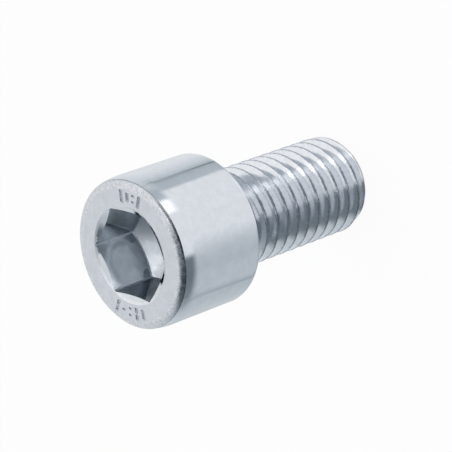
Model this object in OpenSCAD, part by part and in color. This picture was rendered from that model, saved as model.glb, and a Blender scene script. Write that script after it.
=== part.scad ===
// Cylinder head screw with a hexagon socket, full length metric thread.
// Sizes in millimetres. It stands on its thread end: z = 0 is the thread end,
// the axis is Z and the head with its socket is on top.

/* [Head] */
// Diameter of the head
head_diameter = 18; // [14:0.5:30]
// Height of the head above its seat
head_height = 12; // [9:0.5:20]
// Width of the rounded edge at the top of the head, across the face
top_edge_width = 0.7; // [0.2:0.05:1.5]
// Height of the rounded edge at the top of the head, down the side
top_edge_height = 0.85; // [0.2:0.05:1.5]
// Radius of the small rounding at the seat's outer edge
seat_edge_radius = 0.35; // [0.1:0.05:0.8]

/* [Socket] */
// Width across the flats of the hexagon socket
socket_width = 10.05; // [6:0.05:14.1]
// Depth of the socket's corners below the head's face
socket_depth = 5.9; // [3:0.1:8]
// Radius of the flat patch in the middle of the socket's floor
floor_flat_radius = 3.1; // [1:0.1:5]
// Slope of the socket's conical floor against the level, in degrees
floor_slope = 26; // [5:1:35]
// Margin by which the countersink passes the hexagon's corners, at the head's face
countersink_margin = 0.05; // [0:0.05:2]
// Slope of the countersink against the level, in degrees
countersink_slope = 27; // [10:1:50]

/* [Thread] */
// Nominal diameter of the thread
thread_diameter = 12; // [8:0.5:20]
// Length from the seat under the head to the thread end
thread_length = 22; // [16:1:60]
// Pitch of the thread
thread_pitch = 1.75; // [1:0.25:2.5]
// Play of the thread on its diameter, so that it runs in a nut
thread_play = 0.1; // [0:0.02:0.3]
// Radius of the thread end's flat face
end_radius = 5.15; // [3:0.05:8]
// Height of the chamfer at the thread end
end_chamfer_height = 1; // [0.4:0.1:2]
// Facets round the thread
thread_facets = 60; // [24:4:72]
// Turn of the thread's start about the axis, in degrees
thread_turn = 208; // [0:1:359]

/* [Neck] */
// Radius of the plain neck under the head
neck_radius = 5.6; // [4:0.05:8]
// Length of the plain neck under the head
neck_length = 1.9; // [1.5:0.1:6]
// Length over which the thread runs out towards the neck
runout_length = 1.7; // [0.5:0.1:5]
// Radius of the fillet between the neck and the seat
neck_fillet = 0.6; // [0.2:0.1:1.2]

/* [Hidden] */
// Facets of the round exact shapes
$fn = 96;
// Height of the seat and of the head's face above the thread end
seat_height = thread_length;
face_height = thread_length + head_height;
head_radius = head_diameter / 2;
// Corner radius of the hexagon, and radius of the countersink at the head's face
socket_corner = socket_width / sqrt(3);
countersink_radius = socket_corner + countersink_margin;
// Thread radii and the heights of its four corners in one pitch
crest_radius = (thread_diameter - thread_play) / 2;
root_radius = crest_radius - 0.6134 * thread_pitch;
crest_flat = thread_pitch / 8;
flank_rise = (crest_radius - root_radius) * tan(30);
row_rise = [0, crest_flat, crest_flat + flank_rise, thread_pitch - flank_rise];
row_radius = [crest_radius, crest_radius, root_radius, root_radius];
// The threaded body's top lies inside the neck, just under its surface
thread_top = seat_height - neck_fillet - 0.2;
neck_start = seat_height - neck_length + 0.1;
buried_radius = neck_radius - 0.05;
// The smallest height kept between a row of corners and an end face
row_gap = 0.03;

// Points of an arc that turns from one angle to another about a centre
function arc(centre_x, centre_z, size_x, size_z, first, last, count) =
    [for (k = [0:count])
        let (a = first + (last - first) * k / count)
        [centre_x + size_x * cos(a), centre_z + size_z * sin(a)]];

// Height of thread row q at column i, on a right-hand helix
function row_height(i, q) =
    thread_pitch * (floor(q / 4) + i / thread_facets) + row_rise[((q % 4) + 4) % 4];

// Share of the run-out that is passed at a height, eased at both ends
function runout_share(z) =
    let (t = (z - (seat_height - neck_length - runout_length)) / runout_length)
    let (c = max(0, min(1, t)))
    c * c * (3 - 2 * c);

// Radius of the end chamfer's cone at a height
function chamfer_radius(z) =
    end_radius + (crest_radius - end_radius) * z / end_chamfer_height;

// Thread radius after the run-out and the end chamfer are taken off
function shaped_radius(base, z) =
    let (s = runout_share(z))
    min(base * (1 - s) + buried_radius * s, chamfer_radius(z));

// Radius of the thread's profile where it meets the end face at column i
function end_profile(i) =
    let (p = thread_pitch * (1 - i / thread_facets))
    let (w = p >= thread_pitch ? p - thread_pitch : p)
    w < row_rise[1] ? crest_radius :
    w < row_rise[2] ? crest_radius - (w - row_rise[1]) / tan(30) :
    w < row_rise[3] ? root_radius : root_radius + (w - row_rise[3]) / tan(30);

// First and last thread row between the two end faces at column i
function first_row(i) =
    [for (q = [-8:12]) if (row_height(i, q) > row_gap) q][0];
function last_row(i) =
    let (top = ceil(4 * thread_top / thread_pitch) + 8)
    let (rows = [for (q = [top - 24:top]) if (row_height(i, q) < thread_top - row_gap) q])
    rows[len(rows) - 1];

// Closed solid of the helical thread, one column of corners per facet
module thread_body()
{
    n = thread_facets;
    low = [for (i = [0:n]) first_row(i)];
    high = [for (i = [0:n]) last_row(i)];
    start = [for (i = 0, s = 0; i < n; s = s + high[i] - low[i] + 3, i = i + 1) s];
    corners = [for (i = [0:n - 1])
        let (a = 360 * i / n)
        each concat(
            [let (r = min(end_profile(i), end_radius)) [r * cos(a), r * sin(a), 0]],
            [for (q = [low[i]:high[i]])
                let (z = row_height(i, q))
                let (r = shaped_radius(row_radius[((q % 4) + 4) % 4], z))
                [r * cos(a), r * sin(a), z]],
            [[buried_radius * cos(a), buried_radius * sin(a), thread_top]])];
    count = len(corners);
    points = concat(corners, [[0, 0, 0], [0, 0, thread_top]]);
    // Corner numbers: of a row, of the lower end and of the upper end
    row_at = function (i, q) i < n ? start[i] + 1 + q - low[i] : start[0] + 1 + q + 4 - low[0];
    foot_at = function (i) start[i % n];
    top_at = function (i) start[i % n] + high[i % n] - low[i % n] + 2;
    sides = [for (i = [0:n - 1])
        let (j = i + 1)
        each concat(
            [for (q = [low[i]:high[j] - 1])
                each [[row_at(i, q), row_at(j, q + 1), row_at(j, q)],
                    [row_at(i, q), row_at(i, q + 1), row_at(j, q + 1)]]],
            low[j] == low[i] ?
                [[foot_at(i), row_at(j, low[i]), foot_at(j)],
                    [foot_at(i), row_at(i, low[i]), row_at(j, low[i])]] :
                [[foot_at(i), row_at(j, low[j]), foot_at(j)],
                    [foot_at(i), row_at(i, low[i]), row_at(j, low[j])],
                    [row_at(i, low[i]), row_at(j, low[i]), row_at(j, low[j])]],
            high[j] == high[i] ?
                [[row_at(i, high[i]), top_at(j), row_at(j, high[j])],
                    [row_at(i, high[i]), top_at(i), top_at(j)]] :
                [[row_at(i, high[j]), row_at(i, high[i]), row_at(j, high[j])],
                    [row_at(i, high[i]), top_at(j), row_at(j, high[j])],
                    [row_at(i, high[i]), top_at(i), top_at(j)]])];
    ends = [for (i = [0:n - 1])
        each [[count, foot_at(i), foot_at(i + 1)],
            [count + 1, top_at(i + 1), top_at(i)]]];
    polyhedron(points = points, faces = concat(sides, ends), convexity = 10);
}

// Head, seat, fillet and neck as one turned shape
module head_and_neck()
{
    rotate_extrude()
        polygon(concat(
            [[0, neck_start], [buried_radius - 0.3, neck_start], [neck_radius, neck_start + 0.35]],
            arc(neck_radius + neck_fillet, seat_height - neck_fillet,
                neck_fillet, neck_fillet, 180, 90, 5),
            arc(head_radius - seat_edge_radius, seat_height + seat_edge_radius,
                seat_edge_radius, seat_edge_radius, -90, 0, 4),
            arc(head_radius - top_edge_width, face_height - top_edge_height,
                top_edge_width, top_edge_height, 0, 90, 6),
            [[0, face_height]]));
}

// Space of the hexagon socket: flats, conical floor and countersink
module socket_space()
{
    corner_height = face_height - socket_depth;
    floor_drop = (socket_corner - floor_flat_radius) * tan(floor_slope);
    floor_height = corner_height - floor_drop;
    wide = socket_corner + 0.5;
    intersection()
    {
        translate([0, 0, floor_height - 1])
            cylinder(r = socket_corner, h = face_height - floor_height + 2, $fn = 6);
        rotate_extrude()
            polygon([
                [0, floor_height],
                [floor_flat_radius, floor_height],
                [wide, floor_height + (wide - floor_flat_radius) * tan(floor_slope)],
                [wide, face_height + 0.5],
                [0, face_height + 0.5]]);
    }
    countersink_drop = countersink_radius * tan(countersink_slope);
    translate([0, 0, face_height - countersink_drop])
        cylinder(r1 = 0, r2 = countersink_radius, h = countersink_drop);
    translate([0, 0, face_height])
        cylinder(r = countersink_radius, h = 0.5);
}

// The whole screw: threaded shank, neck and socketed head in one piece
module screw()
{
    color([0.76, 0.78, 0.81])
        difference()
        {
            union()
            {
                head_and_neck();
                rotate([0, 0, thread_turn])
                    thread_body();
            }
            socket_space();
        }
}

screw();
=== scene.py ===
import math

import bmesh
import bpy
from mathutils import Matrix, Vector


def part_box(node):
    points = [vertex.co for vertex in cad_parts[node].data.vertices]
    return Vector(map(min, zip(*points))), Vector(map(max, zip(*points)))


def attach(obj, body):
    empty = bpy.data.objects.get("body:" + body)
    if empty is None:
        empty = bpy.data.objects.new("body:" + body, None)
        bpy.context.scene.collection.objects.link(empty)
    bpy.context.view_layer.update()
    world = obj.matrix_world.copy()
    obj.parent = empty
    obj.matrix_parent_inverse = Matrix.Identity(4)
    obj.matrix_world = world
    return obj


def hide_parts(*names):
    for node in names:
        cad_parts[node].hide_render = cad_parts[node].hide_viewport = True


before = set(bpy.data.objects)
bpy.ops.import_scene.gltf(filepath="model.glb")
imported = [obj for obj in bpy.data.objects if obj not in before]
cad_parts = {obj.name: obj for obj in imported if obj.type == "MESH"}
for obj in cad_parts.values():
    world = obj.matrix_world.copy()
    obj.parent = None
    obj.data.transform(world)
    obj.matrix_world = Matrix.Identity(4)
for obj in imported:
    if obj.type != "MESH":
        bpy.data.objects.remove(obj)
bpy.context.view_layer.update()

# All forms below are in millimetres; a finished mesh is scaled to metres at its end.
toMetres = 0.001
lowCorner, highCorner = (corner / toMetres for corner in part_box("screw"))
headRadius = (highCorner.x - lowCorner.x) / 2
faceHeight = highCorner.z
print("frame loaded: head radius", round(headRadius, 2), "mm, face at", round(faceHeight, 2), "mm")


# Camera, in millimetres and degrees: the photo's angle on the head, rolled for its tilt in the frame
cameraView = {
    "aim": (-0.59, 0.047, 18.862),
    "distance": 291.3,
    "azimuth": -4.577,
    "elevation": 41.246,
    "roll": 109.913,
    "lens": 198.594,
    "sensor": 36.0,
    "nearest": 10.0,            # nothing closer to the camera than this is drawn
}


def placeCamera():
    azimuth = math.radians(cameraView["azimuth"])
    elevation = math.radians(cameraView["elevation"])
    roll = math.radians(cameraView["roll"])
    forward = Vector((-math.sin(azimuth) * math.cos(elevation),
                      math.cos(azimuth) * math.cos(elevation),
                      -math.sin(elevation)))
    level = forward.cross(Vector((0, 0, 1))).normalized()
    upright = level.cross(forward)
    up = upright * math.cos(roll) + level * math.sin(roll)
    right = forward.cross(up)
    place = (Vector(cameraView["aim"]) - forward * cameraView["distance"]) * toMetres
    data = bpy.data.cameras.new("camera")
    data.lens = cameraView["lens"]
    data.sensor_width = cameraView["sensor"]
    data.clip_start = cameraView["nearest"] * toMetres
    camera = bpy.data.objects.new("camera", data)
    camera.matrix_world = Matrix((
        (right.x, up.x, -forward.x, place.x),
        (right.y, up.y, -forward.y, place.y),
        (right.z, up.z, -forward.z, place.z),
        (0, 0, 0, 1)))
    bpy.context.collection.objects.link(camera)
    bpy.context.scene.camera = camera


placeCamera()
print("camera placed")


# Sizes of the screw, in millimetres and degrees
screwForm = {
    "headHeight": 12.0,
    # the worn edge's corners: inwards from the side, down from the face, rounding and its segments
    "edgeCorners": (
        (0.0, 1.55, 0.6, 8), (0.22, 0.42, 0.03, 2), (0.45, 0.17, 0.15, 4), (0.92, 0.0, 0.25, 4)),
    "creaseDrop": 0.42,
    "seatRounding": (0.35, 5),  # size and segments, as for each rounding below
    "neckFillet": 0.6,
    "filletSegments": 6,
    "neckRadius": 5.6,
    "neckLength": 1.9,
    "joinDrop": 0.9,            # the shank ends this far below the fillet
    "joinGap": 0.15,            # and the neck starts this far above the shank's end
    "columns": 240,             # divisions round the axis, a multiple of six for the hexagon
    "headStep": 0.55,           # longest step along the head's outline
    "faceStep": 0.2,            # and on its face, where the stamps are
    "socketWidth": 10.05,       # across the flats
    "socketDepth": 5.9,         # at the corners
    "countersinkMargin": 0.05,  # past the hexagon's corners
    "countersinkSlope": 27.0,
    "cornerRounding": 0.055,    # taken off the hexagon's corners
    "dishShares": (0.35, 0.7, 1.0),
    "wallShares": (0.02, 0.2, 0.4, 0.6, 0.8, 0.975),
    "floorFlatRadius": 3.1,
    "floorSlope": 26.0,
    "floorBlend": 0.4,          # half the reach over which the floor's cone eases into its flat
    "floorShares": (0.05, 0.35, 0.7, 1.0),
    "blendShares": (0.75, 0.5, 0.25, 0.0, -0.25, -0.5, -0.75, -1.0),
    "floorRings": (1.2, 0.4),
    "pitch": 1.75,
    "threadDepth": 0.6134,      # share of the pitch
    "flankAngle": 30.0,
    "crestRadius": 5.95,
    "crestWidth": 0.16,
    "crestRounding": (0.05, 1),
    "rootRounding": (0.10, 3),
    "threadStep": 0.28,         # longest step along the thread's profile
    "threadTurn": 208.0,        # where the thread starts round the axis
    "turnsBelow": 2,            # turns that are made below the end and cut off
    "endRadius": 5.15,
    "endChamfer": 1.0,
    "endRings": (4.6, 3.4, 2.0, 0.7),
    "runout": 1.7,
    "sharpAngle": 25.0,         # edges that turn more than this stay crisp
}
seatHeight = faceHeight - screwForm["headHeight"]
rootRadius = screwForm["crestRadius"] - screwForm["threadDepth"] * screwForm["pitch"]
joinHeight = seatHeight - screwForm["neckFillet"] - screwForm["joinDrop"]
hexCorner = screwForm["socketWidth"] / math.sqrt(3)
hexFlat = screwForm["socketWidth"] / 2
rimRadius = hexCorner + screwForm["countersinkMargin"]


# Small helpers for node trees
def put(tree, kind, place, settings=None, values=None):
    made = tree.nodes.new(kind)
    made.location = place
    for key, value in (settings or {}).items():
        setattr(made, key, value)
    for key, value in (values or {}).items():
        made.inputs[key].default_value = value
    return made


# A socket takes another node's output, or a fixed value
def feed(tree, source, socket):
    if hasattr(source, "is_output"):
        tree.links.new(source, socket)
    elif source is not None:
        socket.default_value = source


def blendOf(tree, place, mode, factor, first, second):
    made = put(tree, "ShaderNodeMix", place, {"data_type": "RGBA", "blend_type": mode})
    for name, source in (("Factor", factor), (6, first), (7, second)):
        feed(tree, source, made.inputs[name])
    return made.outputs[2]


def rangeOf(tree, place, source, fromLow, fromHigh, toLow, toHigh, kind="SMOOTHSTEP"):
    made = put(tree, "ShaderNodeMapRange", place, {"interpolation_type": kind},
               {"From Min": fromLow, "From Max": fromHigh, "To Min": toLow, "To Max": toHigh})
    feed(tree, source, made.inputs["Value"])
    return made.outputs["Result"]


def mathOf(tree, place, operation, first, second=None, third=None):
    made = put(tree, "ShaderNodeMath", place, {"operation": operation})
    for socket, source in zip(made.inputs, (first, second, third)):
        feed(tree, source, socket)
    return made.outputs[0]


# Bearing round the axis, as a share of a turn that is one half at +X
def bearingOf(tree, place, source):
    made = put(tree, "ShaderNodeTexGradient", place, {"gradient_type": "RADIAL"})
    tree.links.new(source, made.inputs[0])
    return made.outputs["Fac"]


def turnShare(bearing):
    return bearing / 360 + 0.5


def newGroup(name, takes, gives):
    group = bpy.data.node_groups.new(name, "ShaderNodeTree")
    for label, kind, value in takes:
        socket = group.interface.new_socket(name=label, in_out="INPUT",
                                            socket_type="NodeSocket" + kind)
        if value is not None:
            socket.default_value = value
    for label, kind in gives:
        group.interface.new_socket(name=label, in_out="OUTPUT",
                                   socket_type="NodeSocket" + kind)
    entry = put(group, "NodeGroupInput", (-900, 0))
    leave = put(group, "NodeGroupOutput", (700, 0))
    return group, entry, leave


# Mottle of the zinc plate: soft clouds and a fine crystal grain
def zincMottleGroup():
    group, entry, leave = newGroup(
        "zincMottle",
        (("Place", "Vector", None), ("Cloud Size", "Float", 900.0), ("Grain Size", "Float", 9000.0)),
        (("Cloud", "Float"), ("Grain", "Float")))
    cloud = put(group, "ShaderNodeTexNoise", (-500, 150), values={"Detail": 4.0, "Roughness": 0.6})
    grain = put(group, "ShaderNodeTexNoise", (-500, -150), values={"Detail": 3.0, "Roughness": 0.7})
    for texture, size in ((cloud, "Cloud Size"), (grain, "Grain Size")):
        group.links.new(entry.outputs["Place"], texture.inputs["Vector"])
        group.links.new(entry.outputs[size], texture.inputs["Scale"])
    spread = rangeOf(group, (-200, 150), cloud.outputs["Fac"], 0.3, 0.7, 0, 1)
    group.links.new(spread, leave.inputs["Cloud"])
    spread = rangeOf(group, (-200, -150), grain.outputs["Fac"], 0.25, 0.75, 0, 1)
    group.links.new(spread, leave.inputs["Grain"])
    return group


# Lines left by turning: rings round the axis, as height or distance from the axis changes
def turningLinesGroup():
    group, entry, leave = newGroup(
        "turningLines",
        (("Place", "Vector", None), ("Across", "Float", 9000.0), ("Along Z", "Float", 9000.0)),
        (("Lines", "Float"),))
    parts = put(group, "ShaderNodeSeparateXYZ", (-700, 0))
    group.links.new(entry.outputs["Place"], parts.inputs[0])
    squareX = mathOf(group, (-540, 120), "MULTIPLY", parts.outputs["X"], parts.outputs["X"])
    squareXY = mathOf(group, (-380, 120), "MULTIPLY_ADD",
                      parts.outputs["Y"], parts.outputs["Y"], squareX)
    radius = mathOf(group, (-220, 120), "SQRT", squareXY)
    across = mathOf(group, (-60, 120), "MULTIPLY", radius, entry.outputs["Across"])
    along = mathOf(group, (-60, -40), "MULTIPLY", parts.outputs["Z"], entry.outputs["Along Z"])
    total = mathOf(group, (90, 60), "ADD", across, along)
    lines = put(group, "ShaderNodeTexNoise", (240, 60), {"noise_dimensions": "1D"},
                {"Scale": 1.0, "Detail": 4.0, "Roughness": 0.7})
    group.links.new(total, lines.inputs["W"])
    group.links.new(lines.outputs["Fac"], leave.inputs["Lines"])
    return group


# Fine scratches and knocks from handling
def handlingMarksGroup():
    group, entry, leave = newGroup(
        "handlingMarks",
        (("Place", "Vector", None), ("Size", "Float", 260.0)),
        (("Scratch", "Float"), ("Pit", "Float")))
    bend = put(group, "ShaderNodeTexNoise", (-700, 200), values={"Scale": 300.0, "Detail": 2.0})
    group.links.new(entry.outputs["Place"], bend.inputs["Vector"])
    mixed = put(group, "ShaderNodeVectorMath", (-520, 200), {"operation": "MULTIPLY_ADD"},
                {1: (0.004, 0.004, 0.004)})
    group.links.new(bend.outputs["Color"], mixed.inputs[0])
    group.links.new(entry.outputs["Place"], mixed.inputs[2])
    cells = put(group, "ShaderNodeTexVoronoi", (-340, 200), {"feature": "DISTANCE_TO_EDGE"})
    group.links.new(mixed.outputs[0], cells.inputs["Vector"])
    group.links.new(entry.outputs["Size"], cells.inputs["Scale"])
    thin = rangeOf(group, (-160, 200), cells.outputs["Distance"], 0.0, 0.012, 1, 0)
    where = put(group, "ShaderNodeTexNoise", (-340, -60), values={"Scale": 420.0, "Detail": 2.0})
    group.links.new(entry.outputs["Place"], where.inputs["Vector"])
    here = rangeOf(group, (-160, -60), where.outputs["Fac"], 0.52, 0.62, 0, 1)
    group.links.new(mathOf(group, (40, 120), "MULTIPLY", thin, here), leave.inputs["Scratch"])
    pits = put(group, "ShaderNodeTexVoronoi", (-340, -320), values={"Scale": 2600.0})
    group.links.new(entry.outputs["Place"], pits.inputs["Vector"])
    dots = rangeOf(group, (-160, -320), pits.outputs["Distance"], 0.10, 0.22, 1, 0)
    rare = rangeOf(group, (-160, -480), where.outputs["Fac"], 0.38, 0.46, 1, 0)
    group.links.new(mathOf(group, (40, -380), "MULTIPLY", dots, rare), leave.inputs["Pit"])
    return group


zincMottle = zincMottleGroup()
turningLines = turningLinesGroup()
handlingMarks = handlingMarksGroup()
print("shared node groups made")


# Finishes of the one zinc plated steel, each for its own surfaces, with painted light and shade in their
# colours. The bumps are in millimetres.
# The colours are partly painted light and shade: the face is darker and the dish and thread lighter than
# the side for how light falls on them, though the plate is one tone.
zincFinishAndShade = {
    "side": {"bright": (0.785, 0.81, 0.85), "dull": (0.70, 0.73, 0.775), "rough": 0.11,
             "cloudSize": 900.0, "grainSize": 9000.0, "grainBump": 0.0009,
             "lineBump": 0.0002, "across": 0.0, "alongZ": 5200.0, "wear": 0.25},
    "face": {"bright": (0.665, 0.69, 0.73), "dull": (0.60, 0.625, 0.67), "rough": 0.28,
             "cloudSize": 900.0, "grainSize": 9000.0, "grainBump": 0.0025,
             "lineBump": 0.001, "across": 5200.0, "alongZ": 0.0, "wear": 0.2},
    "edge": {"bright": (0.78, 0.80, 0.83), "dull": (0.54, 0.56, 0.60), "rough": 0.27,
             "cloudSize": 2600.0, "grainSize": 5200.0, "grainBump": 0.008,
             "lineBump": 0.002, "across": 2500.0, "alongZ": 2500.0, "wear": 0.8},
    "dish": {"bright": (0.84, 0.86, 0.89), "dull": (0.76, 0.79, 0.83), "rough": 0.42,
             "cloudSize": 900.0, "grainSize": 9000.0, "grainBump": 0.003,
             "lineBump": 0.001, "across": 3000.0, "alongZ": 0.0, "wear": 0.2},
    "wall": {"bright": (0.70, 0.74, 0.77), "dull": (0.62, 0.66, 0.69), "rough": 0.05,
             "cloudSize": 900.0, "grainSize": 9000.0, "grainBump": 0.0002,
             "lineBump": 0.0, "across": 0.0, "alongZ": 0.0, "wear": 0.0},
    "floor": {"bright": (0.75, 0.78, 0.83), "dull": (0.68, 0.71, 0.76), "rough": 0.33,
              "cloudSize": 900.0, "grainSize": 9000.0, "grainBump": 0.001,
              "lineBump": 0.0005, "across": 2600.0, "alongZ": 0.0, "wear": 0.1},
    "thread": {"bright": (0.82, 0.84, 0.875), "dull": (0.72, 0.745, 0.79), "rough": 0.14,
               "cloudSize": 1500.0, "grainSize": 4200.0, "grainBump": 0.0022,
               "lineBump": 0.0, "across": 0.0, "alongZ": 0.0, "wear": 0.3},
    "end": {"bright": (0.72, 0.735, 0.76), "dull": (0.56, 0.58, 0.62), "rough": 0.38,
            "cloudSize": 900.0, "grainSize": 9000.0, "grainBump": 0.006,
            "lineBump": 0.003, "across": 3200.0, "alongZ": 0.0, "wear": 0.4},
}
finishOrder = list(zincFinishAndShade)


# Wear of single finishes, with painted shade and painted reflections on some of them. Tints multiply the
# colour, bearings are in degrees round the axis, and drops are millimetres below the face. A band's
# first two numbers are its limits and its last two its strengths.
zincWearAndShade = {
    "cloudShare": 0.65,             # of the colour's mottle; the grain has the rest
    "pitTint": (0.45, 0.47, 0.50, 1),
    "scratchTint": (0.25, 0.25, 0.25, 1),
    "pitDepth": 0.006,
    "scratchDepth": 0.008,
    "roughClouds": (1.15, 0.85),    # the roughness is multiplied by these
    "roughLines": 0.03,             # and the turning lines add or take this much
    "grainLift": 0.08,              # the grain moves the limits of the drops by this, in millimetres
    "depthLift": 0.16,              # and the limits of the thread's depth by this share
    # painted shade in the thread's roots, and on its crests to dull their highlight
    "rootShadeBand": (0.92, 1.04, 0, 0.8),
    "rootShadeTint": (0.30, 0.33, 0.37, 1),
    "crestShadeBand": (0.08, 0.22, 0.95, 0),
    "crestShadeTint": (0.52, 0.55, 0.60, 1),
    # painted shade low on the socket's walls
    "socketShadeDrops": (5.7, 3.8),
    "socketShadeStrength": 0.75,
    "socketShadeTint": (0.42, 0.44, 0.47, 1),
    # painted shade in the edge's crease
    "creaseDrops": (0.35, 0.28),
    "creaseShadeBand": (0.1, 0.7, 0.25, 0.85),
    "creaseShadeTint": (0.32, 0.34, 0.38, 1),
    # a painted dark reflection on the edge's slope, between two pairs of bearings
    "darkReflectionArc": (-156, -138, -98, -76),
    "darkReflectionDrops": (0.06, -0.03),
    "darkReflectionBand": (0.15, 0.7, 0.55, 1),
    "darkReflectionTint": (0.30, 0.33, 0.37, 1),
    # painted reflections, dark lines along the head's side
    "reflectionLines": ((-45.4, 0.45, 0.9), (-145.8, 0.3, 0.3)),   # bearing, half width and strength
    "reflectionLineDrops": (11.5, 4.0),
    "reflectionLineStrengths": (1, 0.25),
    "reflectionLineBand": (0.2, 0.6, 0.2, 1),
    "reflectionLineTint": (0.22, 0.24, 0.27, 1),
}


def heightsOf(drops):
    return [(faceHeight - drop) * toMetres for drop in drops]


# Painted shade in the thread's roots, and painted shade on its crests that dulls their highlight
def shadeThread(tree, colour, grain):
    depth = put(tree, "ShaderNodeAttribute", (-900, 700), {"attribute_name": "rootDepth"})
    uneven = mathOf(tree, (-700, 700), "MULTIPLY_ADD",
                    grain, zincWearAndShade["depthLift"], depth.outputs["Fac"])
    rootShade = rangeOf(tree, (-500, 700), uneven, *zincWearAndShade["rootShadeBand"])
    colour = blendOf(tree, (150, 350), "MULTIPLY", rootShade, colour, zincWearAndShade["rootShadeTint"])
    crest = rangeOf(tree, (-500, 900), uneven, *zincWearAndShade["crestShadeBand"])
    return blendOf(tree, (300, 450), "MULTIPLY", crest, colour, zincWearAndShade["crestShadeTint"])


# Painted shade low on the socket's walls, darker towards the bottom
def shadeWall(tree, colour, height):
    socketShade = rangeOf(tree, (-500, 700), height,
                   *heightsOf(zincWearAndShade["socketShadeDrops"]), zincWearAndShade["socketShadeStrength"], 0)
    return blendOf(tree, (150, 350), "MULTIPLY", socketShade, colour, zincWearAndShade["socketShadeTint"])


# Painted shade in a broken dark crease, and a painted dark reflection on one side of the slope above it
def shadeEdge(tree, colour, height, bearing, cloud):
    crease = rangeOf(tree, (-500, 700), height, *heightsOf(zincWearAndShade["creaseDrops"]), 1, 0)
    breaks = rangeOf(tree, (-300, 900), cloud, *zincWearAndShade["creaseShadeBand"])
    broken = mathOf(tree, (-100, 700), "MULTIPLY", crease, breaks)
    colour = blendOf(tree, (150, 350), "MULTIPLY", broken, colour, zincWearAndShade["creaseShadeTint"])
    # painted dark reflection on one side of the slope
    ends = [turnShare(angle) for angle in zincWearAndShade["darkReflectionArc"]]
    arc = mathOf(tree, (-500, 1200), "MULTIPLY",
                 rangeOf(tree, (-700, 1200), bearing, *ends[:2], 0, 1),
                 rangeOf(tree, (-700, 1400), bearing, *ends[2:], 1, 0))
    sloped = rangeOf(tree, (-500, 1000), height, *heightsOf(zincWearAndShade["darkReflectionDrops"]), 1, 0)
    patches = rangeOf(tree, (-300, 1200), cloud, *zincWearAndShade["darkReflectionBand"])
    onSlope = mathOf(tree, (-150, 1000), "MULTIPLY", arc, sloped)
    darkReflection = mathOf(tree, (0, 1000), "MULTIPLY", onSlope, patches)
    return blendOf(tree, (300, 500), "MULTIPLY", darkReflection, colour, zincWearAndShade["darkReflectionTint"])


# Painted reflections: two dark lines along the head's side, strongest near the seat.
def paintSideReflections(tree, colour, height, bearing, grain):
    fading = rangeOf(tree, (-700, 900), height,
                     *heightsOf(zincWearAndShade["reflectionLineDrops"]), *zincWearAndShade["reflectionLineStrengths"])
    breaks = rangeOf(tree, (-500, 900), grain, *zincWearAndShade["reflectionLineBand"])
    for angle, halfWidth, strength in zincWearAndShade["reflectionLines"]:
        line = mathOf(tree, (-700, 700), "COMPARE", bearing, turnShare(angle), halfWidth / 360)
        faded = mathOf(tree, (-600, 800), "MULTIPLY", fading, strength)
        darkLine = mathOf(tree, (-500, 700), "MULTIPLY", line, faded)
        broken = mathOf(tree, (-350, 700), "MULTIPLY", darkLine, breaks)
        colour = blendOf(tree, (150, 350), "MULTIPLY", broken, colour, zincWearAndShade["reflectionLineTint"])
    return colour


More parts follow.
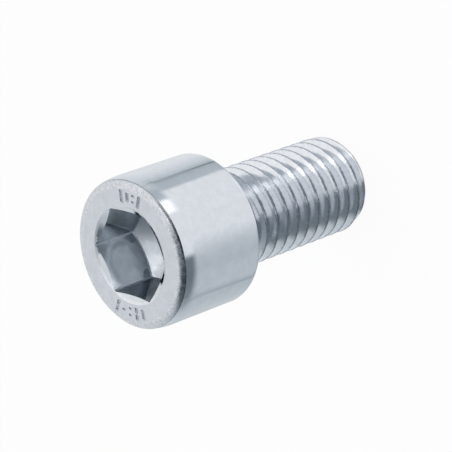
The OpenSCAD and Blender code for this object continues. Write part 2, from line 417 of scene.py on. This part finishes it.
def makeZinc(name):
    look = zincFinishAndShade[name]
    material = bpy.data.materials.new("zinc_" + name)
    material.use_nodes = True
    tree = material.node_tree
    tree.nodes.clear()
    output = put(tree, "ShaderNodeOutputMaterial", (900, 0))
    metal = put(tree, "ShaderNodeBsdfPrincipled", (600, 0), values={"Metallic": 1.0})
    tree.links.new(metal.outputs[0], output.inputs["Surface"])
    place = put(tree, "ShaderNodeTexCoord", (-1300, 0)).outputs["Object"]
    mottle = put(tree, "ShaderNodeGroup", (-1000, 250), {"node_tree": zincMottle},
                 {"Cloud Size": look["cloudSize"], "Grain Size": look["grainSize"]})
    lines = put(tree, "ShaderNodeGroup", (-1000, 0), {"node_tree": turningLines},
                {"Across": look["across"], "Along Z": look["alongZ"]})
    marks = put(tree, "ShaderNodeGroup", (-1000, -250), {"node_tree": handlingMarks})
    for group in (mottle, lines, marks):
        tree.links.new(place, group.inputs["Place"])
    cloud, grain = mottle.outputs["Cloud"], mottle.outputs["Grain"]

    # colour: clouds and grain between bright and dull, darker pits, paler scratches, then painted shade
    # and painted reflections on some finishes
    clouds = mathOf(tree, (-850, 400), "MULTIPLY", cloud, zincWearAndShade["cloudShare"])
    amount = mathOf(tree, (-700, 300), "MULTIPLY_ADD", grain, 1 - zincWearAndShade["cloudShare"], clouds)
    plate = blendOf(tree, (-500, 300), "MIX", amount, (*look["dull"], 1), (*look["bright"], 1))
    pits = mathOf(tree, (-700, 100), "MULTIPLY", marks.outputs["Pit"], look["wear"])
    scratches = mathOf(tree, (-700, -50), "MULTIPLY", marks.outputs["Scratch"], look["wear"])
    pitted = blendOf(tree, (-250, 250), "MULTIPLY", pits, plate, zincWearAndShade["pitTint"])
    colour = blendOf(tree, (-50, 250), "SCREEN", scratches, pitted, zincWearAndShade["scratchTint"])
    if name == "thread":
        colour = shadeThread(tree, colour, grain)
    if name in ("side", "edge", "wall"):
        parts = put(tree, "ShaderNodeSeparateXYZ", (-1100, 900))
        tree.links.new(place, parts.inputs[0])
        height = mathOf(tree, (-900, 900), "MULTIPLY_ADD", grain, zincWearAndShade["grainLift"] * toMetres,
                        parts.outputs["Z"])
    if name == "wall":
        colour = shadeWall(tree, colour, height)
    if name == "edge":
        colour = shadeEdge(tree, colour, height, bearingOf(tree, (-900, 1200), place), cloud)
    if name == "side":
        colour = paintSideReflections(tree, colour, height, bearingOf(tree, (-900, 700), place), grain)
    tree.links.new(colour, metal.inputs["Base Color"])

    # roughness: the plate's clouds and the turning lines
    cloudy = rangeOf(tree, (-500, 0), cloud, 0, 1,
                     *(look["rough"] * share for share in zincWearAndShade["roughClouds"]), "LINEAR")
    lined = rangeOf(tree, (-500, -160), lines.outputs["Lines"], 0.3, 0.7,
                    -zincWearAndShade["roughLines"], zincWearAndShade["roughLines"], "LINEAR")
    tree.links.new(mathOf(tree, (-250, 0), "ADD", cloudy, lined), metal.inputs["Roughness"])

    # relief: each part adds its share to the height, in metres
    rise = 0.0
    for source, reach in (
            (grain, look["grainBump"]),
            (lines.outputs["Lines"], look["lineBump"]),
            (marks.outputs["Pit"], -zincWearAndShade["pitDepth"] * look["wear"]),
            (marks.outputs["Scratch"], -zincWearAndShade["scratchDepth"] * look["wear"])):
        rise = mathOf(tree, (-350, -350), "MULTIPLY_ADD", source, reach * toMetres, rise)
    bump = put(tree, "ShaderNodeBump", (300, -300), values={"Strength": 1.0, "Distance": 1.0})
    tree.links.new(rise, bump.inputs["Height"])
    tree.links.new(bump.outputs[0], metal.inputs["Normal"])
    return material


zincMaterials = [makeZinc(name) for name in finishOrder]
print("zinc finishes made:", ", ".join(finishOrder))


def eased(share):
    share = max(0.0, min(1.0, share))
    return share * share * (3 - 2 * share)


def angleOf(point):
    return math.atan2(point.y, point.x)


def slopeOf(angle):
    return math.tan(math.radians(angle))


# Distance from the axis to the hexagon's wall
def hexRadius(angle):
    within = (angle + math.pi / 6) % (math.pi / 3) - math.pi / 6
    wall = hexFlat / math.cos(math.pi / 6 - abs(within))
    return min(wall, hexCorner - screwForm["cornerRounding"])


# The thread's radius after the run-out under the neck and the chamfer at the end
def shapedRadius(radius, height):
    crest, end = screwForm["crestRadius"], screwForm["endRadius"]
    start = seatHeight - screwForm["neckLength"] - screwForm["runout"]
    share = eased((height - start) / screwForm["runout"])
    chamfer = end + (crest - end) * height / screwForm["endChamfer"]
    return min(radius * (1 - share) + screwForm["neckRadius"] * share, chamfer)


def openEdges(mesh):
    return [edge for edge in mesh.edges if len(edge.link_faces) == 1]


# A closed loop is drawn out by one ring; placeAt gives each point's radius and height at its bearing
def growLoop(mesh, loop, placeAt):
    grown = bmesh.ops.extrude_edge_only(mesh, edges=loop)["geom"]
    for vert in grown:
        if isinstance(vert, bmesh.types.BMVert):
            radius, height = placeAt(angleOf(vert.co))
            flat = Vector((vert.co.x, vert.co.y, 0)).normalized() * radius
            vert.co = (flat.x, flat.y, height)
    return [edge for edge in grown
            if isinstance(edge, bmesh.types.BMEdge) and len(edge.link_faces) == 1]


def wire(mesh, corners):
    verts = [mesh.verts.new((radius, 0, height)) for radius, height in corners]
    for first, second in zip(verts, verts[1:]):
        mesh.edges.new((first, second))
    return verts


def roundCorner(mesh, vert, size, segments):
    bmesh.ops.bevel(mesh, geom=[vert], offset=size, segments=segments, affect="VERTICES",
                    offset_type="OFFSET", profile=0.5, material=-1, clamp_overlap=True)


def divideLong(mesh, longest, wanted=lambda middle: True):
    for edge in list(mesh.edges):
        cuts = int(edge.calc_length() / longest)
        if cuts > 0 and wanted((edge.verts[0].co + edge.verts[1].co) / 2):
            bmesh.ops.subdivide_edges(mesh, edges=[edge], cuts=cuts)


def finished(mesh, name):
    data = bpy.data.meshes.new(name)
    mesh.to_mesh(data)
    mesh.free()
    print(name, "made:", len(data.polygons), "faces")
    return data


# The threaded shank: one pitch of profile, spun up the helix, run out and chamfered
def makeShank():
    mesh = bmesh.new()
    pitch = screwForm["pitch"]
    crest = screwForm["crestRadius"]
    crestFlat = screwForm["crestWidth"]
    flank = (crest - rootRadius) * slopeOf(screwForm["flankAngle"])
    rootHalf = (pitch - crestFlat - 2 * flank) / 2
    base = -pitch * (screwForm["turnsBelow"] + screwForm["threadTurn"] / 360)
    verts = wire(mesh, (
        (rootRadius, base - flank - rootHalf),
        (rootRadius, base - flank),
        (crest, base),
        (crest, base + crestFlat),
        (rootRadius, base + crestFlat + flank),
        (rootRadius, base + crestFlat + flank + rootHalf)))
    for number, rounding in ((1, "rootRounding"), (2, "crestRounding"),
                             (3, "crestRounding"), (4, "rootRounding")):
        roundCorner(mesh, verts[number], *screwForm[rounding])
    divideLong(mesh, screwForm["threadStep"])
    columns = screwForm["columns"]
    bmesh.ops.spin(mesh, geom=mesh.verts[:] + mesh.edges[:], cent=(0, 0, 0), axis=(0, 0, 1),
                   dvec=(0, 0, pitch / columns), angle=2 * math.pi, steps=columns,
                   use_duplicate=False)
    firstTurn = mesh.verts[:] + mesh.edges[:] + mesh.faces[:]
    for turn in range(1, math.ceil((joinHeight - base) / pitch) + 1):
        copied = bmesh.ops.duplicate(mesh, geom=firstTurn)["geom"]
        bmesh.ops.translate(mesh, vec=(0, 0, pitch * turn),
                            verts=[part for part in copied if isinstance(part, bmesh.types.BMVert)])
    bmesh.ops.remove_doubles(mesh, verts=mesh.verts, dist=0.001)
    for vert in mesh.verts:
        radius = math.hypot(vert.co.x, vert.co.y)
        shaped = shapedRadius(radius, vert.co.z)
        vert.co.x *= shaped / radius
        vert.co.y *= shaped / radius
    for height, side in ((0.0, "clear_inner"), (joinHeight, "clear_outer")):
        bmesh.ops.bisect_plane(mesh, geom=mesh.verts[:] + mesh.edges[:] + mesh.faces[:],
                               dist=0.0005, plane_co=(0, 0, height), plane_no=(0, 0, 1),
                               **{side: True})
    loop = [edge for edge in openEdges(mesh) if max(abs(vert.co.z) for vert in edge.verts) < 0.002]
    for ring in screwForm["endRings"]:
        loop = growLoop(mesh, loop, lambda angle: (ring, 0.0))
    bmesh.ops.contextual_create(mesh, geom=loop)
    return finished(mesh, "shank")


# Plain stamped bars and dots on the face: bearing, distance from the axis and half length
faceStamps = {
    "marks": (
        (-46.0, 6.95, 0.62), (-38.5, 6.60, 0.0), (-38.5, 7.35, 0.0), (-31.0, 6.95, 0.40),
        (-23.0, 6.95, 0.62), (129.5, 6.55, 0.20), (129.5, 7.35, 0.20), (138.0, 6.95, 0.0),
        (146.5, 6.50, 0.0), (146.5, 7.30, 0.0), (155.5, 6.55, 0.20), (155.5, 7.35, 0.20),
        (164.5, 6.95, 0.45)),
    "windows": ((-53.0, -16.0), (123.0, 172.0)),   # bearings between which the face is made finer
    "cuts": 3,
    "halfWidth": 0.14,
    "depth": 0.18,
    "lip": 0.04,
    # where, in half widths from a mark's middle line, its flank and its lip lie, and its reach
    "flank": (0.35, 1.15),
    "lipRise": (0.9, 1.25),
    "lipFall": (1.4, 2.1),
    "reach": 2.2,
    "inner": 6.05,
    "outer": 7.76,
}


def between(value, limits):
    return eased((value - limits[0]) / (limits[1] - limits[0]))


def stampRise(place):
    rise = 0.0
    for bearing, distance, halfLength in faceStamps["marks"]:
        turn = math.radians(bearing)
        along = place.x * math.cos(turn) + place.y * math.sin(turn) - distance
        across = place.y * math.cos(turn) - place.x * math.sin(turn)
        gap = math.hypot(max(0.0, abs(along) - halfLength), across) / faceStamps["halfWidth"]
        if gap < faceStamps["reach"]:
            rise -= faceStamps["depth"] * (1 - between(gap, faceStamps["flank"]))
            lip = between(gap, faceStamps["lipRise"]) * (1 - between(gap, faceStamps["lipFall"]))
            rise += faceStamps["lip"] * lip
    return min(rise, faceStamps["lip"])


def stampFace(mesh):
    inner, outer = faceStamps["inner"], faceStamps["outer"]
    chosen = set()
    for face in mesh.faces:
        middle = face.calc_center_median()
        bearing = math.degrees(angleOf(middle))
        if abs(middle.z - faceHeight) > 0.0005 or not inner < math.hypot(middle.x, middle.y) < outer:
            continue
        if any(first < bearing < last for first, last in faceStamps["windows"]):
            chosen.update(edge.index for edge in face.edges)
    mesh.edges.ensure_lookup_table()
    bmesh.ops.subdivide_edges(mesh, edges=[mesh.edges[number] for number in sorted(chosen)],
                              cuts=faceStamps["cuts"], use_grid_fill=True)
    for vert in mesh.verts:
        if abs(vert.co.z - faceHeight) < 0.0005 and vert.co.xy.length > inner - 0.1:
            vert.co.z += stampRise(vert.co)


# The head: a turned outline from the neck to the countersink's rim, then the hexagon socket
def makeHead():
    mesh = bmesh.new()
    neck = screwForm["neckRadius"]
    edges = screwForm["edgeCorners"]
    verts = wire(mesh, (
        (neck, joinHeight + screwForm["joinGap"]),
        (neck, seatHeight),
        (headRadius, seatHeight),
        *((headRadius - inward, faceHeight - down) for inward, down, _, _ in edges),
        (rimRadius, faceHeight)))
    fillet = (screwForm["neckFillet"], screwForm["filletSegments"])
    roundings = [fillet, screwForm["seatRounding"], *(edge[2:] for edge in edges)]
    for vert, (size, segments) in zip(verts[1:], roundings):
        roundCorner(mesh, vert, size, segments)
    faceEdge = headRadius - edges[-1][0]
    divideLong(mesh, screwForm["headStep"])
    divideLong(mesh, screwForm["faceStep"],
               lambda middle: middle.z > faceHeight - 0.001 and middle.x < faceEdge)
    bmesh.ops.spin(mesh, geom=mesh.verts[:] + mesh.edges[:], cent=(0, 0, 0), axis=(0, 0, 1),
                   dvec=(0, 0, 0), angle=2 * math.pi, steps=screwForm["columns"],
                   use_merge=True, use_duplicate=False)
    dishSlope = slopeOf(screwForm["countersinkSlope"])
    floorSlope = slopeOf(screwForm["floorSlope"])
    flat = screwForm["floorFlatRadius"]
    soft = screwForm["floorBlend"]
    cornerHeight = faceHeight - screwForm["socketDepth"]
    floorHeight = cornerHeight - (hexCorner - flat) * floorSlope

    def mouthHeight(angle):
        return faceHeight - (rimRadius - hexRadius(angle)) * dishSlope

    def rootHeight(angle):
        return cornerHeight - (hexCorner - hexRadius(angle)) * floorSlope

    # the floor's cone eases into its flat middle over twice the blend's reach
    def floorAt(radius):
        over = max(0.0, min(2 * soft, radius - flat + soft))
        return floorHeight + floorSlope * (over * over / (4 * soft) + max(0.0, radius - flat - soft))

    def partWay(first, last, part):
        return first + (last - first) * part

    loop = [edge for edge in openEdges(mesh)
            if min(vert.co.z for vert in edge.verts) > faceHeight - 0.02]
    for part in screwForm["dishShares"]:
        loop = growLoop(mesh, loop, lambda angle: (
            partWay(rimRadius, hexRadius(angle), part), partWay(faceHeight, mouthHeight(angle), part)))
    for part in screwForm["wallShares"]:
        loop = growLoop(mesh, loop, lambda angle: (
            hexRadius(angle), partWay(mouthHeight(angle), rootHeight(angle), part)))
    for part in screwForm["floorShares"]:
        loop = growLoop(mesh, loop, lambda angle: (
            partWay(hexRadius(angle), flat + soft, part),
            floorAt(partWay(hexRadius(angle), flat + soft, part))))
    for ring in (*(flat + part * soft for part in screwForm["blendShares"]), *screwForm["floorRings"]):
        loop = growLoop(mesh, loop, lambda angle: (ring, floorAt(ring)))
    bmesh.ops.contextual_create(mesh, geom=loop)
    stampFace(mesh)
    return finished(mesh, "head")


# Where one finish meets the next, in millimetres
finishLimits = {
    "aboveEnd": 0.01,
    "pastCrest": 0.1,
    "pastHexagon": 0.02,
    "wallBelow": 0.14,       # walls and floor lie this far below the face
    "wallGap": 0.01,         # a wall lies this close to the hexagon
    "dishAbove": 1.0,        # what is off the walls and less deep than this belongs to the mouth
    "belowFace": 0.001,
    "pastStamps": 0.05,
    "pastCrease": 0.03,
}


def finishAt(centre):
    limits = finishLimits
    radius = math.hypot(centre.x, centre.y)
    height = centre.z
    drop = faceHeight - height
    if height < limits["aboveEnd"]:
        return "end"
    if (height < seatHeight - screwForm["neckFillet"] / 2
            and radius < screwForm["crestRadius"] + limits["pastCrest"]):
        return "thread"
    if radius < hexCorner + limits["pastHexagon"] and drop > limits["wallBelow"]:
        if hexRadius(angleOf(centre)) - radius < limits["wallGap"]:
            return "wall"
        return "dish" if drop < limits["dishAbove"] else "floor"
    if radius < rimRadius and drop > limits["belowFace"]:
        return "dish"
    if drop < 2 * faceStamps["depth"] and radius < faceStamps["outer"] + limits["pastStamps"]:
        return "face"
    if drop < screwForm["creaseDrop"] + limits["pastCrease"] and radius > faceStamps["outer"]:
        return "edge"
    return "side"


def buildScrew():
    mesh = bmesh.new()
    for part in (makeShank(), makeHead()):
        mesh.from_mesh(part)
        bpy.data.meshes.remove(part)
    bmesh.ops.bridge_loops(mesh, edges=openEdges(mesh))
    bmesh.ops.remove_doubles(mesh, verts=mesh.verts, dist=0.0005)
    bmesh.ops.recalc_face_normals(mesh, faces=mesh.faces)
    for face in mesh.faces:
        face.smooth = True
        face.material_index = finishOrder.index(finishAt(face.calc_center_median()))
    bmesh.ops.scale(mesh, vec=(toMetres,) * 3, verts=mesh.verts)
    data = finished(mesh, "screw_body")
    crest = screwForm["crestRadius"]
    rootDepth = data.attributes.new("rootDepth", "FLOAT", "POINT")
    for vert, depth in zip(data.vertices, rootDepth.data):
        if vert.co.z / toMetres < joinHeight:
            depth.value = (crest - vert.co.xy.length / toMetres) / (crest - rootRadius)
    data.set_sharp_from_angle(angle=math.radians(screwForm["sharpAngle"]))
    for material in zincMaterials:
        data.materials.append(material)
    piece = bpy.data.objects.new("screw_body", data)
    bpy.context.collection.objects.link(piece)
    return piece


screwBody = buildScrew()
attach(screwBody, "root")
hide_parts("screw")
print("screw built:", len(screwBody.data.polygons), "faces")


# Floor and light. The camera sees a plain white floor and room, and the metal sees other tones. They
# were typed in from readings of the photo's bright and dark bands and corrected against renders, so
# they fit that one view. Bearings and elevations are in degrees, other sizes in millimetres.
studio = {
    "floorWidth": 2000.0,
    # the floor near the screw, by the angle round the head at which the head's side shows it
    "sideTones": (
        (-5, 0.70), (-9, 0.76), (-22, 0.88), (-30, 0.87), (-38, 0.76), (-43.5, 0.62), (-44.4, 0.40),
        (-45.8, 0.40), (-47, 0.56), (-55.8, 0.59), (-56.6, 0.93), (-98, 0.91), (-103, 0.82),
        (-109, 0.69), (-114, 0.62), (-120, 0.575), (-130, 0.62), (-144, 0.575), (-145.2, 0.46),
        (-146.4, 0.46), (-147.6, 0.58), (-160, 0.62), (-170, 0.66), (-178, 0.60), (-184, 0.55)),
    # the far floor and the room near the horizon, by bearing from the screw
    "farTones": (
        (-176, 0.26), (-150, 0.20), (-124, 0.22), (-118, 0.90), (-63, 0.93), (-59, 1.4), (-44, 1.4),
        (-39, 0.60), (-26, 0.52), (-18, 0.66), (-4, 0.72), (10, 0.80), (60, 0.90), (130, 0.82),
        (155, 0.60), (172, 0.36)),
    # the room's walls above
    "roomTones": (
        (-178, 0.60), (-117, 0.86), (-60, 0.92), (-50, 1.1), (-20, 1.1), (0, 1.02), (40, 1.0),
        (85, 0.93), (115, 0.82), (130, 0.70), (145, 0.62), (178, 0.58)),
    "gain": 1.5,                      # the brightest tone that the ramps can hold
    "tint": (-0.17, 0.02, 0.14),      # change of red, green and blue as a tone gets darker
    "contactShadowTone": 0.35,              # painted contact shadow on the floor under the thread end
    "contactShadowReach": (5.0, 11.0),
    "nearReach": (20.0, 30.0),        # up to here the far floor's tones show through again
    "nearShare": 0.6,
    "farReach": (45.0, 75.0),         # here the near floor's tones give way to the far floor's
    "sideHeight": 28.0,               # height at the middle of the head's side
    # heights below are of a direction's unit vector
    "wallsFrom": (0.20, 0.50),
    "ceilingFrom": (0.945, 0.970),
    "ceilingTone": 0.90,
    "darkWay": (-1.0, 0.3686, 0.0),   # the dark end of the room lies this way
    "darkFrom": (0.185, 0.225),
    "darkSide": (0.29, 0.49),         # and ends between these shares towards +Y
    "darkTone": 0.20,
    "screens": ((46.0, -40.0, 13.0), (37.0, -91.0, 25.0)),   # elevation, bearing and reach
    "screenEdge": 3.0,
    "screenTone": 0.08,
    "shadowShare": 0.08,              # how much of the floor under the camera takes the shadow
    "whiteness": 1.02,                # of the rest, to make up for that share
    "paleFloor": (0.9, 0.9, 0.9, 1),
    "lampPlace": (70.0, -25.0),       # elevation and bearing of the bright lamp
    "lampAim": (0.0, 0.0, 20.0),
    "lampDistance": 300.0,
    "lampSize": 44.0,
    "lampPower": 0.011,
}


def skyVector(elevation, bearing):
    e, b = math.radians(elevation), math.radians(bearing)
    return Vector((math.cos(e) * math.cos(b), math.cos(e) * math.sin(b), math.sin(e)))


# Bearing of the floor point that the head's side shows to the camera, at an angle round the head
def floorBearing(angle):
    side = math.radians(angle)
    toCamera = math.radians(cameraView["azimuth"] - 90)
    mirrored = 2 * side - toCamera
    reach = studio["sideHeight"] / math.tan(math.radians(cameraView["elevation"]))
    x = headRadius * math.cos(side) + reach * math.cos(mirrored)
    y = headRadius * math.sin(side) + reach * math.sin(mirrored)
    return math.degrees(math.atan2(y, x)) % 360


# Darker tones of the room are a little bluer
def tinted(tone):
    shade = max(0.0, 1 - tone)
    return (*(tone / studio["gain"] * (1 + change * shade) for change in studio["tint"]), 1)


def toneRamp(tree, place, source, tones):
    made = put(tree, "ShaderNodeValToRGB", place)
    ordered = sorted((turnShare(bearing) % 1, tone) for bearing, tone in tones)
    ramp = made.color_ramp
    ramp.interpolation = "LINEAR"
    ramp.elements[0].position, ramp.elements[1].position = ordered[0][0], ordered[-1][0]
    for position, _ in ordered[1:-1]:
        ramp.elements.new(position)
    for element, (position, tone) in zip(ramp.elements, ordered):
        element.position = position
        element.color = tinted(tone)
    tree.links.new(source, made.inputs[0])
    return made.outputs[0]


def makeFloor():
    mesh = bmesh.new()
    bmesh.ops.create_grid(mesh, x_segments=1, y_segments=1, size=studio["floorWidth"] / 2)
    bmesh.ops.scale(mesh, vec=(toMetres,) * 3, verts=mesh.verts)
    data = bpy.data.meshes.new("studio_floor")
    mesh.to_mesh(data)
    mesh.free()
    floor = bpy.data.objects.new("studio_floor", data)
    bpy.context.collection.objects.link(floor)
    material = bpy.data.materials.new("studio_floor")
    material.use_nodes = True
    material.cycles.emission_sampling = "NONE"
    tree = material.node_tree
    tree.nodes.clear()
    output = put(tree, "ShaderNodeOutputMaterial", (900, 0))
    place = put(tree, "ShaderNodeTexCoord", (-900, 0)).outputs["Object"]
    bearing = bearingOf(tree, (-700, 0), place)
    near = toneRamp(tree, (-500, 150), bearing,
                    [(floorBearing(angle), tone) for angle, tone in studio["sideTones"]])
    far = toneRamp(tree, (-500, -150), bearing, studio["farTones"])
    length = put(tree, "ShaderNodeVectorMath", (-850, -350), {"operation": "LENGTH"})
    tree.links.new(place, length.inputs[0])
    reach = mathOf(tree, (-700, -350), "DIVIDE", length.outputs["Value"], toMetres)
    outer = rangeOf(tree, (-500, -350), reach, *studio["farReach"], 0, 1)
    inner = rangeOf(tree, (-500, -750), reach, *studio["nearReach"], studio["nearShare"], 0)
    away = mathOf(tree, (-400, -450), "MAXIMUM", outer, inner)
    # painted contact shadow: the metal sees the floor darker near the thread end
    pastContactShadow = rangeOf(tree, (-500, -550), reach, *studio["contactShadowReach"], studio["contactShadowTone"], 1)
    toned = blendOf(tree, (-300, 0), "MIX", away, near, far)
    toMetal = put(tree, "ShaderNodeEmission", (-100, 0))
    tree.links.new(toned, toMetal.inputs["Color"])
    strength = mathOf(tree, (-300, -550), "MULTIPLY", pastContactShadow, studio["gain"])
    tree.links.new(strength, toMetal.inputs["Strength"])
    white = put(tree, "ShaderNodeEmission", (-100, -150),
                values={"Color": (1, 1, 1, 1), "Strength": studio["whiteness"]})
    pale = put(tree, "ShaderNodeBsdfDiffuse", (-100, -300), values={"Color": studio["paleFloor"]})
    path = put(tree, "ShaderNodeLightPath", (-100, 350))
    shown = put(tree, "ShaderNodeMixShader", (200, -200), values={0: studio["shadowShare"]})
    tree.links.new(white.outputs[0], shown.inputs[1])
    tree.links.new(pale.outputs[0], shown.inputs[2])
    forCamera = put(tree, "ShaderNodeMixShader", (420, -100))
    tree.links.new(path.outputs["Is Camera Ray"], forCamera.inputs[0])
    tree.links.new(pale.outputs[0], forCamera.inputs[1])
    tree.links.new(shown.outputs[0], forCamera.inputs[2])
    either = mathOf(tree, (200, 350), "MAXIMUM",
                    path.outputs["Is Glossy Ray"], path.outputs["Is Transmission Ray"])
    forMetal = put(tree, "ShaderNodeMixShader", (660, 0))
    tree.links.new(either, forMetal.inputs[0])
    tree.links.new(forCamera.outputs[0], forMetal.inputs[1])
    tree.links.new(toMetal.outputs[0], forMetal.inputs[2])
    tree.links.new(forMetal.outputs[0], output.inputs["Surface"])
    data.materials.append(material)


def makeWorld():
    world = bpy.data.worlds.new("studio_room")
    bpy.context.scene.world = world
    world.use_nodes = True
    tree = world.node_tree
    tree.nodes.clear()
    output = put(tree, "ShaderNodeOutputWorld", (900, 0))
    direction = put(tree, "ShaderNodeTexCoord", (-1100, 0)).outputs["Generated"]
    parts = put(tree, "ShaderNodeSeparateXYZ", (-900, 100))
    tree.links.new(direction, parts.inputs[0])
    bearing = bearingOf(tree, (-900, -150), direction)
    lowTone = toneRamp(tree, (-650, 0), bearing, studio["farTones"])
    highTone = toneRamp(tree, (-650, -250), bearing, studio["roomTones"])
    raised = rangeOf(tree, (-650, 250), parts.outputs["Z"], *studio["wallsFrom"], 0, 1)
    overhead = rangeOf(tree, (-650, 450), parts.outputs["Z"], *studio["ceilingFrom"], 0, 1)
    walls = blendOf(tree, (-300, 0), "MIX", raised, lowTone, highTone)

    # how far a direction lies along a given one
    def alongWay(place, way):
        made = put(tree, "ShaderNodeVectorMath", place, {"operation": "DOT_PRODUCT"}, {1: way})
        tree.links.new(direction, made.inputs[0])
        return made.outputs["Value"]

    edge = studio["screenEdge"]
    for row, (elevation, compass, reach) in enumerate(studio["screens"]):
        toward = alongWay((-900, -450 - 200 * row), skyVector(elevation, compass))
        limits = [math.cos(math.radians(reach + more)) for more in (edge, -edge)]
        screen = rangeOf(tree, (-650, -450 - 200 * row), toward, *limits, 0, 1)
        walls = blendOf(tree, (-200, -100), "MIX", screen, walls, tinted(studio["screenTone"]))
    lit = blendOf(tree, (-100, 100), "MIX", overhead, walls, tinted(studio["ceilingTone"]))
    end = rangeOf(tree, (-650, 650), alongWay((-900, 650), studio["darkWay"]), *studio["darkFrom"], 0, 1)
    side = rangeOf(tree, (-650, 850), parts.outputs["Y"], *studio["darkSide"], 1, 0)
    dark = mathOf(tree, (-400, 750), "MULTIPLY", end, side)
    seenByMetal = blendOf(tree, (100, 100), "MIX", dark, lit, tinted(studio["darkTone"]))
    path = put(tree, "ShaderNodeLightPath", (0, 350))
    white = (*(1 / studio["gain"] for _ in range(3)), 1)
    seen = blendOf(tree, (250, 150), "MIX", path.outputs["Is Camera Ray"], seenByMetal, white)
    shine = put(tree, "ShaderNodeBackground", (500, 0), values={"Strength": studio["gain"]})
    tree.links.new(seen, shine.inputs["Color"])
    tree.links.new(shine.outputs[0], output.inputs["Surface"])


def makeLamp():
    data = bpy.data.lights.new("soft_lamp", "AREA")
    data.shape = "SQUARE"
    data.size = studio["lampSize"] * toMetres
    data.energy = studio["lampPower"]
    lamp = bpy.data.objects.new("soft_lamp", data)
    way = skyVector(*studio["lampPlace"])
    lamp.location = (Vector(studio["lampAim"]) + way * studio["lampDistance"]) * toMetres
    lamp.rotation_euler = way.to_track_quat("Z", "Y").to_euler()
    bpy.context.collection.objects.link(lamp)


makeFloor()
makeWorld()
makeLamp()
bpy.context.scene.view_settings.view_transform = "Standard"
print("floor, room light and lamp set")
